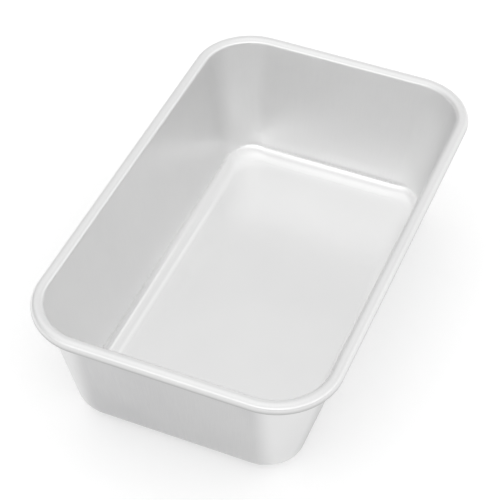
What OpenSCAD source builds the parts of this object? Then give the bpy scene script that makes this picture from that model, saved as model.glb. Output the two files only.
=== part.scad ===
// Seamless drawn loaf pan: one sheet-aluminium shell whose edge is rolled over a steel wire.
// Millimetres, +Z up, length along Y. The origin is the middle of the flat base.

/* [Rim] */
// Width over the rolled rim
rim_width = 154; // [130:1:180]
// Length over the rolled rim
rim_length = 253.5; // [200:0.5:320]
// Outside corner radius of the rolled rim
rim_corner_r = 33; // [30:0.5:40]
// Diameter of the rolled rim, sheet included
bead_d = 6.7; // [5.5:0.1:8]
// Gap between the curled edge and the outside of the wall
curl_gap = 0.3; // [0.2:0.1:1]

/* [Body] */
// Height from the flat base to the top of the rim
pan_height = 71.1; // [60:0.1:80]
// Lean of all four walls from upright, in degrees
wall_angle = 11.7; // [6:0.1:13]
// Corner radius of the cavity at the foot of the walls
foot_corner_r = 17.5; // [14:0.5:20]
// Corner radius of the flat floor
floor_corner_r = 17; // [12:0.5:19]
// Radius between the walls and the floor, cavity side
fillet_r = 10; // [4:0.5:12]
// Sheet thickness
sheet_t = 1; // [0.7:0.1:1.2]

/* [Rim wire] */
// Gap between the two butted ends of the wire, in the middle of one long side
wire_gap = 1; // [0.5:0.5:4]
// Clearance between the wire and the curl around it
wire_clear = 0.1; // [0.1:0.05:0.3]

/* [Smoothness] */
// Steps around each corner of the sheet
corner_steps = 14; // [12:1:16]
// Steps around the curl of the rim
curl_steps = 20; // [16:1:24]
// Steps along the fillet at the foot of the walls
fillet_steps = 8; // [6:1:10]

/* [Hidden] */

bead_r = bead_d / 2;
half_w = rim_width / 2 - bead_r;
half_l = rim_length / 2 - bead_r;
bead_corner_r = rim_corner_r - bead_r;
bead_z = pan_height - bead_r;

wire_r = bead_r - sheet_t - wire_clear;
wire_facets = 48;
bend_facets = 96;

curl_start = 180 - wall_angle;
curl_turn = 360 - acos((bead_r - sheet_t - curl_gap) / bead_r);
lean = tan(wall_angle);
fillet_z = sheet_t + fillet_r;
foot_z = fillet_z - fillet_r * sin(wall_angle);
top_inset = bead_r * cos(wall_angle);
top_z = bead_z + bead_r * sin(wall_angle);
foot_inset = top_inset + (top_z - foot_z) * lean;
floor_inset = foot_inset + fillet_r * cos(wall_angle);

aluminium = [0.82, 0.83, 0.84];
galvanised = [0.62, 0.64, 0.66];

// One level of the sheet: [inset from the bead centreline, corner radius, height].

// A point of the curl at angle a, on radius r about the wire
function curl_level(r, a) = [-r * cos(a), bead_corner_r + r * cos(a), bead_z + r * sin(a)];

// A point of the fillet where its surface leans a degrees from upright, s outside the cavity skin
function fillet_level(a, s) =
    let (reach = 1 - cos(a) / cos(wall_angle))
    [
        floor_inset - (fillet_r + s) * cos(a),
        foot_corner_r + (floor_corner_r - foot_corner_r) * reach + s * cos(a),
        fillet_z - (fillet_r + s) * sin(a)
    ];

// The sheet's section, from the base up the outside, round the curl and down the cavity
function sheet_levels() = concat(
    [for (i = [0 : fillet_steps]) fillet_level(90 - (90 - wall_angle) * i / fillet_steps, sheet_t)],
    [for (i = [0 : curl_steps]) curl_level(bead_r - sheet_t, curl_start - curl_turn * i / curl_steps)],
    [for (i = [curl_steps : -1 : 0]) curl_level(bead_r, curl_start - curl_turn * i / curl_steps)],
    [for (i = [fillet_steps : -1 : 0]) fillet_level(90 - (90 - wall_angle) * i / fillet_steps, 0)]
);

// A rounded rectangle of points at one level
function outline(level) =
    let (inset = level[0], r = level[1])
    [
        for (q = [0 : 3])
            for (i = [0 : corner_steps])
                let (a = 90 * (q + i / corner_steps))
                [
                    (q == 0 || q == 3 ? 1 : -1) * (half_w - inset - r) + r * cos(a),
                    (q < 2 ? 1 : -1) * (half_l - inset - r) + r * sin(a)
                ]
    ];

// The skin between the levels, closed through the thickness at the edge of the flat floor
module sheet_skin() {
    levels = sheet_levels();
    n = 4 * (corner_steps + 1);
    m = len(levels);
    points = [for (level = levels) for (p = outline(level)) [p[0], p[1], level[2]]];
    faces = [
        for (k = [0 : m - 1])
            for (i = [0 : n - 1])
                let (j = (i + 1) % n, up = (k + 1) % m)
                [k * n + i, up * n + i, up * n + j, k * n + j]
    ];
    polyhedron(points = points, faces = faces, convexity = 6);
}

// The flat floor inside the fillet
module floor_panel() {
    linear_extrude(height = sheet_t)
        polygon(outline(fillet_level(90, 0)));
}

module pan_shell() {
    color(aluminium)
        union() {
            sheet_skin();
            floor_panel();
        }
}

// Straight run of wire along Y from its middle
module wire_rod(length) {
    rotate([90, 0, 0])
        cylinder(h = length, r = wire_r, center = true, $fn = wire_facets);
}

// Quarter bend of wire about its own corner centre, from +X to +Y
module wire_bend() {
    rotate_extrude(angle = 90, $fn = bend_facets)
        translate([bead_corner_r, 0])
            circle(r = wire_r, $fn = wire_facets);
}

module rim_wire() {
    run_w = 2 * (half_w - bead_corner_r);
    run_l = 2 * (half_l - bead_corner_r);
    color(galvanised)
        translate([0, 0, bead_z])
            difference() {
                union() {
                    for (side = [-1, 1]) {
                        translate([side * half_w, 0, 0])
                            wire_rod(run_l);
                        translate([0, side * half_l, 0])
                            rotate([0, 0, 90])
                                wire_rod(run_w);
                    }
                    for (q = [0 : 3])
                        translate([
                            (q == 0 || q == 3 ? 1 : -1) * run_w / 2,
                            (q < 2 ? 1 : -1) * run_l / 2,
                            0
                        ])
                            rotate([0, 0, 90 * q])
                                wire_bend();
                }
                translate([-half_w, 0, 0])
                    cube([bead_d, wire_gap, bead_d], center = true);
            }
}

pan_shell();
rim_wire();
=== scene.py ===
"""A drawn aluminium loaf pan with a rolled rim, on a pale studio floor."""

import math

import bpy
from mathutils import Matrix, Vector


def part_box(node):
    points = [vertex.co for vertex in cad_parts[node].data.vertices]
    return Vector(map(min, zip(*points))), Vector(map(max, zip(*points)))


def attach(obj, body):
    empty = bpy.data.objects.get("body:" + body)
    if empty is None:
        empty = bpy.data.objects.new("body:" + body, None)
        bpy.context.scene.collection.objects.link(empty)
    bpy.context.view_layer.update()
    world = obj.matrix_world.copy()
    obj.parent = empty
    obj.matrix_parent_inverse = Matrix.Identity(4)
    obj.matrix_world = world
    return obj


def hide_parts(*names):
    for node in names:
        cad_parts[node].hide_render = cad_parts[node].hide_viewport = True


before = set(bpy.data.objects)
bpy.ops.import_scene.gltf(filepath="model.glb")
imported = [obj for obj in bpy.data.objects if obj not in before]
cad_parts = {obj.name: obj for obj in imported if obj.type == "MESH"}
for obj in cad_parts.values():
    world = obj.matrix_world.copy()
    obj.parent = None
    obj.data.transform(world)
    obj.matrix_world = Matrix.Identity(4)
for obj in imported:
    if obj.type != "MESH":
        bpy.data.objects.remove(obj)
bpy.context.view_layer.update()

MM = 0.001

# ---------------------------------------------------------------- sizes, in metres

shell_low, shell_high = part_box("pan_shell")
BEAD_R = 3.35 * MM
SHEET_T = 1.0 * MM
CURL_GAP = 0.3 * MM
RIM_CORNER_R = 33 * MM
FOOT_CORNER_R = 17.5 * MM
FLOOR_CORNER_R = 17 * MM
FILLET_R = 10 * MM
WALL_ANGLE = math.radians(11.7)

HALF_W = (shell_high.x - shell_low.x) / 2 - BEAD_R
HALF_L = (shell_high.y - shell_low.y) / 2 - BEAD_R
BEAD_Z = shell_high.z - BEAD_R
BEAD_CORNER_R = RIM_CORNER_R - BEAD_R

CURL_START = math.pi - WALL_ANGLE
CURL_TURN = 2 * math.pi - math.acos((BEAD_R - SHEET_T - CURL_GAP) / BEAD_R)
FILLET_Z = SHEET_T + FILLET_R
WALL_TOP = (BEAD_R * math.cos(WALL_ANGLE), BEAD_Z + BEAD_R * math.sin(WALL_ANGLE))
FOOT_Z = FILLET_Z - FILLET_R * math.sin(WALL_ANGLE)
FOOT_INSET = WALL_TOP[0] + (WALL_TOP[1] - FOOT_Z) * math.tan(WALL_ANGLE)
FLOOR_INSET = FOOT_INSET + FILLET_R * math.cos(WALL_ANGLE)

# ---------------------------------------------------------------- the sheet's section

FLOOR_RINGS = 12
MIDDLE_HALF_W = 8 * MM
MIDDLE_CORNER_R = 6 * MM
FILLET_STEPS = 14
WALL_STEPS = 16
CURL_STEPS = 44
CORNER_STEPS = 30
SHORT_STEPS = 16
LONG_STEPS = 32
# edges that turn more than this stay sharp
SHARP_ANGLE = math.radians(50)


def fillet_level(angle, outside):
    """Inset, corner radius and height of the fillet where it leans `angle` from upright."""
    reach = 1 - math.cos(angle) / math.cos(WALL_ANGLE)
    return (
        FLOOR_INSET - (FILLET_R + outside) * math.cos(angle),
        FOOT_CORNER_R + (FLOOR_CORNER_R - FOOT_CORNER_R) * reach + outside * math.cos(angle),
        FILLET_Z - (FILLET_R + outside) * math.sin(angle),
    )


def curl_level(radius, angle):
    """Inset, corner radius and height of a point round the wire."""
    return (
        -radius * math.cos(angle),
        BEAD_CORNER_R + radius * math.cos(angle),
        BEAD_Z + radius * math.sin(angle),
    )


def between(a, b, steps):
    """Levels strictly between a and b, evenly spaced."""
    return [
        tuple(p + (q - p) * k / steps for p, q in zip(a, b))
        for k in range(1, steps)
    ]


def floor_levels(outside):
    """Levels of the flat floor, from near its middle line out to the fillet."""
    inset, radius, z = fillet_level(math.pi / 2, outside)
    first = HALF_W - MIDDLE_HALF_W
    levels = []
    for k in range(FLOOR_RINGS):
        share = k / FLOOR_RINGS
        levels.append((
            first + (inset - first) * share,
            MIDDLE_CORNER_R + (radius - MIDDLE_CORNER_R) * share,
            z,
        ))
    return levels


def sheet_levels():
    """Round the section: base, outer wall, inside of the curl, its outside, cavity wall, floor."""
    turns = [CURL_START - CURL_TURN * k / CURL_STEPS for k in range(CURL_STEPS + 1)]
    leans = [
        math.pi / 2 - (math.pi / 2 - WALL_ANGLE) * k / FILLET_STEPS
        for k in range(FILLET_STEPS + 1)
    ]
    base = [fillet_level(a, SHEET_T) for a in leans]
    inner_curl = [curl_level(BEAD_R - SHEET_T, a) for a in turns]
    outer_curl = [curl_level(BEAD_R, a) for a in reversed(turns)]
    cavity = [fillet_level(a, 0) for a in reversed(leans)]
    return (
        floor_levels(SHEET_T)
        + base
        + between(base[-1], inner_curl[0], WALL_STEPS)
        + inner_curl
        + outer_curl
        + between(outer_curl[-1], cavity[0], WALL_STEPS)
        + cavity
        + list(reversed(floor_levels(0)))
    )


def ring_angles():
    """Each point round one level: its quarter, its angle, and its share of the straight run after."""
    points = []
    for quarter in range(4):
        start = quarter * math.pi / 2
        for k in range(CORNER_STEPS + 1):
            points.append((quarter, start + math.pi / 2 * k / CORNER_STEPS, 0.0))
        steps = SHORT_STEPS if quarter in (0, 2) else LONG_STEPS
        for k in range(1, steps):
            points.append((quarter, start + math.pi / 2, k / steps))
    return points


def ring_point(level, quarter, angle, along):
    """A point of the rounded rectangle at one level. `along` is its share of the straight run."""
    inset, radius, z = level
    core_x = HALF_W - inset - radius
    core_y = HALF_L - inset - radius
    corners = [(core_x, core_y), (-core_x, core_y), (-core_x, -core_y), (core_x, -core_y)]
    here = corners[quarter]
    after = corners[(quarter + 1) % 4]
    x = here[0] + (after[0] - here[0]) * along + radius * math.cos(angle)
    y = here[1] + (after[1] - here[1]) * along + radius * math.sin(angle)
    return Vector((x, y, z))


def build_shell():
    """The drawn sheet as one closed skin."""
    levels = sheet_levels()
    ring = ring_angles()
    n = len(ring)
    vertices = [ring_point(level, *spot) for level in levels for spot in ring]
    faces = []
    for k in range(len(levels) - 1):
        for i in range(n):
            j = (i + 1) % n
            faces.append((k * n + i, k * n + j, (k + 1) * n + j, (k + 1) * n + i))
    faces.append(tuple(reversed(range(n))))
    faces.append(tuple((len(levels) - 1) * n + i for i in range(n)))
    mesh = bpy.data.meshes.new("shell")
    mesh.from_pydata(vertices, [], faces)
    add_uv(mesh, n, section_lengths(levels))
    mesh.validate()
    for polygon in mesh.polygons:
        polygon.use_smooth = True
    mesh.set_sharp_from_angle(angle=SHARP_ANGLE)
    shell = bpy.data.objects.new("shell", mesh)
    bpy.context.scene.collection.objects.link(shell)
    return shell


def section_lengths(levels):
    """How far along the section each level lies, in metres."""
    lengths = [0.0]
    for a, b in zip(levels, levels[1:]):
        lengths.append(lengths[-1] + math.hypot(b[0] - a[0], b[2] - a[2]))
    return lengths


def add_uv(mesh, n, height):
    """U runs round the pan and V along the sheet's section, both in metres."""
    layer = mesh.uv_layers.new(name="sheet")
    middle = len(height) // 2
    start = [0.0]
    for i in range(n):
        a = mesh.vertices[middle * n + i].co
        b = mesh.vertices[middle * n + (i + 1) % n].co
        start.append(start[-1] + (b - a).length)
    for polygon in mesh.polygons:
        columns = [mesh.loops[l].vertex_index % n for l in polygon.loop_indices]
        wraps = 0 in columns and n - 1 in columns
        for l in polygon.loop_indices:
            vertex = mesh.loops[l].vertex_index
            column = vertex % n
            u = start[n] if wraps and column == 0 else start[column]
            layer.data[l].uv = (u, height[vertex // n])


# ---------------------------------------------------------------- materials

# greys of the sheet, each worn between a darker and a lighter value where there are two
# the outside's greys sit well below the inside's: partly a duller outer skin, partly painted shade
# darkening the outer walls that reflect the bright table
OUTSIDE_DARK = (0.565, 0.565, 0.57, 1)
OUTSIDE_LIGHT = (0.61, 0.61, 0.61, 1)
# painted highlight: the outside's upright corners are made lighter in colour, standing in for
# brighter light reflected there
PAINTED_CORNER_SHEEN = (0.75, 0.75, 0.75, 1)
# painted shade: the underside of the bead is made dark, standing in for the shade and the shaded
# table it reflects
UNDER_BEAD_SHADE = (0.42, 0.42, 0.42, 1)
INSIDE_DARK = (0.9, 0.9, 0.9, 1)
INSIDE_LIGHT = (0.925, 0.925, 0.923, 1)
ZINC_DARK = (0.50, 0.52, 0.54, 1)
ZINC_LIGHT = (0.62, 0.63, 0.65, 1)
ROUGH_FLOOR = 0.24
ROUGH_WALL = 0.37
ROUGH_GRAIN = 0.03
# heights over which the floor's rolled grain turns into the walls' draw lines
GRAIN_TURNS = (1.05 * MM, 4 * MM)
# heights over which the floor's roughness turns into the walls'
FINISH_TURNS = (4 * MM, 16 * MM)
# heights over which highlights start to stretch, from round on the floor
STRETCH_STARTS = (1.02 * MM, 1.6 * MM)
# how many times a metre each texture repeats, along its own three axes
DRAW_LINES = (2600, 60, 1)
ROLLED_GRAIN = (2600, 90, 90)
MOTTLE = 900.0
PATCHES = 22.0
CRYSTALS = 900.0
ZINC_PATCHES = 500.0
# how deep the textures are cut
GRAIN_DEPTH = 0.0009 * MM
MOTTLE_DEPTH = 0.0012 * MM
CRYSTAL_DEPTH = 0.01 * MM
# how far highlights stretch round the pan, and how much of the inside's polish the bead has
STRETCH = 0.75
BEAD_POLISH = 0.95
# where the painted highlight on the outside corners starts and is full, from the bead's centre line
CORNER_SHEEN_FADE = (33 * MM, 22 * MM)
# places along the sheet's section, from its raw edge under the bead: where the painted shade under
# the bead fades in, where it gives way to the bead's own grey, and where the bead's grey gives way to
# the cavity's
UNDER_BEAD_SHADE_FADE = 0.2 * MM
BEAD_FACE = (6.8 * MM, 10.4 * MM)
CAVITY_SIDE = (15 * MM, 18 * MM)


class Nodes:
    """Short ways to add and join shader nodes."""

    def __init__(self, material):
        material.use_nodes = True
        self.tree = material.node_tree
        self.tree.nodes.clear()

    def add(self, kind, inputs=None, **settings):
        node = self.tree.nodes.new(kind)
        for name, value in settings.items():
            setattr(node, name, value)
        for name, value in (inputs or {}).items():
            if isinstance(value, bpy.types.NodeSocket):
                self.tree.links.new(value, node.inputs[name])
            else:
                node.inputs[name].default_value = value
        return node

    def noise(self, vector, scale, detail, roughness=0.5):
        inputs = {"Vector": vector, "Scale": scale, "Detail": detail, "Roughness": roughness}
        return self.add("ShaderNodeTexNoise", inputs).outputs["Fac"]

    def stretch(self, vector, scale):
        return self.add("ShaderNodeMapping", {"Vector": vector, "Scale": scale}).outputs["Vector"]

    def spread(self, value, low, high, to_low=0.0, to_high=1.0, kind="LINEAR"):
        inputs = {
            "Value": value, "From Min": low, "From Max": high,
            "To Min": to_low, "To Max": to_high,
        }
        return self.add("ShaderNodeMapRange", inputs, interpolation_type=kind).outputs["Result"]

    def tint(self, factor, a, b):
        inputs = {0: factor, 6: a, 7: b}
        return self.add("ShaderNodeMix", inputs, data_type="RGBA").outputs[2]

    def math(self, operation, a, b):
        return self.add("ShaderNodeMath", {0: a, 1: b}, operation=operation).outputs["Value"]

    def blend(self, factor, a, b):
        inputs = {0: factor, 2: a, 3: b}
        return self.add("ShaderNodeMix", inputs, data_type="FLOAT").outputs[0]

    def bump(self, height, distance, normal=None):
        inputs = {"Height": height, "Distance": distance, "Strength": 1.0}
        if normal is not None:
            inputs["Normal"] = normal
        return self.add("ShaderNodeBump", inputs).outputs["Normal"]


def raw_edge_length():
    """How far along the section the sheet's raw edge lies, where the curl ends."""
    edge_level = FLOOR_RINGS + (FILLET_STEPS + 1) + (WALL_STEPS - 1) + (CURL_STEPS + 1)
    return section_lengths(sheet_levels())[edge_level]


def corner_mask(n, place):
    """1 round the four upright corners, 0 along the flat walls."""
    mask = 1.0
    for axis, half in (("X", HALF_W), ("Y", HALF_L)):
        part = n.add("ShaderNodeSeparateXYZ", {"Vector": place}).outputs[axis]
        size = n.add("ShaderNodeMath", {0: part}, operation="ABSOLUTE").outputs["Value"]
        start, full = CORNER_SHEEN_FADE
        reach = n.spread(size, half - start, half - full, kind="SMOOTHSTEP")
        mask = n.math("MULTIPLY", mask, reach)
    return mask


def aluminium():
    """Satin drawn sheet, bright in the cavity and over the bead. Darker outside, partly a duller skin
    and partly painted shade, with painted highlights on the upright outside corners and painted shade
    under the bead.
    """
    material = bpy.data.materials.new("satin_aluminium")
    n = Nodes(material)
    uv = n.add("ShaderNodeUVMap", uv_map="sheet").outputs["UV"]
    place = n.add("ShaderNodeTexCoord").outputs["Object"]
    height = n.add("ShaderNodeSeparateXYZ", {"Vector": place}).outputs["Z"]
    off_floor = n.spread(height, *GRAIN_TURNS, kind="SMOOTHSTEP")
    on_wall = n.spread(height, *FINISH_TURNS, kind="SMOOTHSTEP")
    stretched = n.spread(height, *STRETCH_STARTS, 0, STRETCH)

    draw_lines = n.noise(n.stretch(uv, DRAW_LINES), 1.0, 4.0, 0.6)
    rolling = n.noise(n.stretch(place, ROLLED_GRAIN), 1.0, 4.0, 0.6)
    grain = n.blend(off_floor, rolling, draw_lines)
    mottle = n.noise(place, MOTTLE, 3.0, 0.55)
    patches = n.noise(place, PATCHES, 3.0)

    along = n.add("ShaderNodeSeparateXYZ", {"Vector": uv}).outputs["Y"]
    raw_edge = raw_edge_length()
    painted_under_bead_shade = n.spread(along, raw_edge, raw_edge + UNDER_BEAD_SHADE_FADE)
    face_start, face_full = (raw_edge + reach for reach in BEAD_FACE)
    cavity_start, cavity_full = (raw_edge + reach for reach in CAVITY_SIDE)
    bead_face = n.spread(along, face_start, face_full)
    past_bead = n.spread(along, cavity_start, cavity_full, BEAD_POLISH, 1)
    worn = n.spread(n.math("ADD", patches, draw_lines), 0.8, 1.2)
    # the outside's grey, worn in patches; its low level is partly painted shade
    outside = n.tint(worn, OUTSIDE_DARK, OUTSIDE_LIGHT)
    # painted highlight: lighter grey round the upright outside corners
    with_corner_sheen = n.tint(corner_mask(n, place), outside, PAINTED_CORNER_SHEEN)
    # painted shade: dark grey on the bead's underside, from the raw edge on
    under = n.tint(painted_under_bead_shade, with_corner_sheen, UNDER_BEAD_SHADE)
    inside = n.tint(worn, INSIDE_DARK, INSIDE_LIGHT)
    tone = n.tint(n.math("MULTIPLY", bead_face, past_bead), under, inside)
    rough = n.math(
        "ADD",
        n.spread(grain, 0.3, 0.7, 0.0, ROUGH_GRAIN),
        n.spread(on_wall, 0, 1, ROUGH_FLOOR, ROUGH_WALL),
    )
    fine = n.bump(grain, GRAIN_DEPTH)
    surface = n.bump(mottle, MOTTLE_DEPTH, normal=fine)

    round_pan = n.add(
        "ShaderNodeTangent", direction_type="UV_MAP", uv_map="sheet"
    ).outputs["Tangent"]
    shader = n.add(
        "ShaderNodeBsdfPrincipled",
        {
            "Base Color": tone, "Metallic": 1.0, "Roughness": rough, "Normal": surface,
            "Anisotropic": stretched, "Tangent": round_pan,
        },
    )
    n.add("ShaderNodeOutputMaterial", {"Surface": shader.outputs["BSDF"]})
    return material


def galvanised():
    """The rim wire: zinc-grey steel with a fine crystalline mottle."""
    material = bpy.data.materials.new("galvanised_wire")
    n = Nodes(material)
    place = n.add("ShaderNodeTexCoord").outputs["Object"]
    crystals = n.add("ShaderNodeTexVoronoi", {"Vector": place, "Scale": CRYSTALS}).outputs["Distance"]
    drawn = n.noise(place, ZINC_PATCHES, 3.0)
    tone = n.tint(crystals, ZINC_DARK, ZINC_LIGHT)
    shader = n.add(
        "ShaderNodeBsdfPrincipled",
        {
            "Base Color": tone, "Metallic": 1.0, "Roughness": n.spread(drawn, 0.3, 0.7, 0.4, 0.55),
            "Normal": n.bump(crystals, CRYSTAL_DEPTH),
        },
    )
    n.add("ShaderNodeOutputMaterial", {"Surface": shader.outputs["BSDF"]})
    return material


def studio_white():
    """The table: matt white, glowing a little so that it stays white in the camera's view."""
    material = bpy.data.materials.new("studio_floor")
    n = Nodes(material)
    lit = {"Emission Color": (1, 1, 1, 1), "Emission Strength": TABLE_GLOW}
    shader = n.add(
        "ShaderNodeBsdfPrincipled",
        {"Base Color": (0.8, 0.8, 0.8, 1), "Roughness": 1.0, "Specular IOR Level": 0.0, **lit},
    )
    n.add("ShaderNodeOutputMaterial", {"Surface": shader.outputs["BSDF"]})
    return material


# ---------------------------------------------------------------- studio

CAMERA_AZIMUTH = math.radians(21.13)
CAMERA_ELEVATION = math.radians(44.17)
CAMERA_ROLL = math.radians(1.63)
CAMERA_DISTANCE = 811.8 * MM
CAMERA_TARGET = Vector((6.7 * MM, -33.2 * MM, BEAD_Z))
CAMERA_LENS = 120.57
SENSOR_WIDTH = 36

FLOOR_REACH = 30.0
TABLE_GLOW = 0.33
# each side of the tent: its outward axis and sign, then (elevation in degrees, brightness) up it
TENT_SIDES = [
    ("Y", -1, [
        (5, 0.6), (13, 0.9), (20, 1.8), (28, 1.3),
        (36, 1.15), (47, 0.85), (60, 1.05), (75, 1.15),
    ]),
    ("X", 1, [
        (5, 0.65), (13, 1.0), (20, 1.7), (28, 1.0),
        (36, 0.85), (47, 0.95), (60, 0.95), (75, 1.05),
    ]),
    ("Y", 1, [
        (5, 0.6), (13, 0.95), (20, 1.1), (28, 0.82),
        (36, 0.78), (47, 0.76), (60, 0.9), (75, 1.05),
    ]),
    ("X", -1, [
        (5, 0.65), (13, 0.6), (20, 0.5), (28, 0.72),
        (36, 0.85), (47, 1.1), (60, 1.0), (75, 1.05),
    ]),
]
# what full white on a side's ramp stands for
BRIGHTEST = 4.0
# lamps glowing through the cloth: azimuth, elevation and half-width in degrees, then brightness
LAMPS = [(177, 46, 8, 0.2)]
# a lamp's glow starts and is full at these shares of its half-width
LAMP_EDGES = (1.35, 0.65)


def add_camera():
    """The camera: above the near short end, a little to its right, and rolled a little."""
    back = Vector((
        math.sin(CAMERA_AZIMUTH) * math.cos(CAMERA_ELEVATION),
        -math.cos(CAMERA_AZIMUTH) * math.cos(CAMERA_ELEVATION),
        math.sin(CAMERA_ELEVATION),
    ))
    right = (-back).cross(Vector((0, 0, 1))).normalized()
    up = right.cross(-back)
    turned_right = right * math.cos(CAMERA_ROLL) + up * math.sin(CAMERA_ROLL)
    turned_up = up * math.cos(CAMERA_ROLL) - right * math.sin(CAMERA_ROLL)
    data = bpy.data.cameras.new("camera")
    data.lens = CAMERA_LENS
    data.sensor_width = SENSOR_WIDTH
    data.clip_start = 0.01
    camera = bpy.data.objects.new("camera", data)
    axes = Matrix((turned_right, turned_up, back)).transposed().to_4x4()
    camera.matrix_world = Matrix.Translation(CAMERA_TARGET + back * CAMERA_DISTANCE) @ axes
    bpy.context.scene.collection.objects.link(camera)
    bpy.context.scene.camera = camera


def add_floor():
    """A plain table under the pan's base."""
    mesh = bpy.data.meshes.new("floor")
    corners = [(-1, -1), (1, -1), (1, 1), (-1, 1)]
    mesh.from_pydata(
        [(x * FLOOR_REACH, y * FLOOR_REACH, 0) for x, y in corners], [], [(0, 1, 2, 3)]
    )
    floor = bpy.data.objects.new("floor", mesh)
    floor.location.z = shell_low.z
    floor.data.materials.append(studio_white())
    bpy.context.scene.collection.objects.link(floor)


def add_surround():
    """A soft light tent: four sides that vary with height, and lamps glowing through its cloth."""
    world = bpy.data.worlds.new("studio")
    n = Nodes(world)
    direction = n.add("ShaderNodeTexCoord").outputs["Generated"]
    part = n.add("ShaderNodeSeparateXYZ", {"Vector": direction}).outputs
    level = n.math("SUBTRACT", 1.0, n.math("MULTIPLY", part["Z"], part["Z"]))
    glow = 0.0
    for axis, sign, stops in TENT_SIDES:
        towards = n.math("MAXIMUM", n.math("MULTIPLY", part[axis], float(sign)), 0.0)
        share = n.math("DIVIDE", n.math("MULTIPLY", towards, towards), level)
        side = n.math("MULTIPLY", share, tent_side(n, part["Z"], stops))
        glow = n.math("ADD", glow, side)
    for azimuth, elevation, spread, brightness in LAMPS:
        turn, lift = math.radians(azimuth), math.radians(elevation)
        towards = (
            math.sin(turn) * math.cos(lift), -math.cos(turn) * math.cos(lift), math.sin(lift)
        )
        facing = n.add(
            "ShaderNodeVectorMath", {0: direction, 1: towards}, operation="DOT_PRODUCT"
        ).outputs["Value"]
        wide, narrow = (math.cos(math.radians(spread * share)) for share in LAMP_EDGES)
        glow = n.math("ADD", glow, n.spread(facing, wide, narrow, 0, brightness, "SMOOTHSTEP"))
    background = n.add("ShaderNodeBackground", {"Color": (1, 1, 1, 1), "Strength": glow})
    n.add("ShaderNodeOutputWorld", {"Surface": background.outputs["Background"]})
    bpy.context.scene.world = world


def tent_side(n, rise, stops):
    """How bright one side of the tent is at each height."""
    ramp = n.add("ShaderNodeValToRGB", {"Fac": rise})
    elements = ramp.color_ramp.elements
    elements.remove(elements[-1])
    for k, (elevation, brightness) in enumerate(stops):
        place = math.sin(math.radians(elevation))
        element = elements[0] if k == 0 else elements.new(place)
        element.position = place
        grey = brightness / BRIGHTEST
        element.color = (grey, grey, grey, 1)
    return n.math("MULTIPLY", ramp.outputs["Color"], BRIGHTEST)


# ---------------------------------------------------------------- the scene

shell = build_shell()
shell.data.materials.append(aluminium())
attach(shell, "root")
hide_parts("pan_shell")

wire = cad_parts["rim_wire"]
wire.data.materials.clear()
wire.data.materials.append(galvanised())

add_floor()
add_camera()
add_surround()

bpy.context.scene.view_settings.view_transform = "Standard"
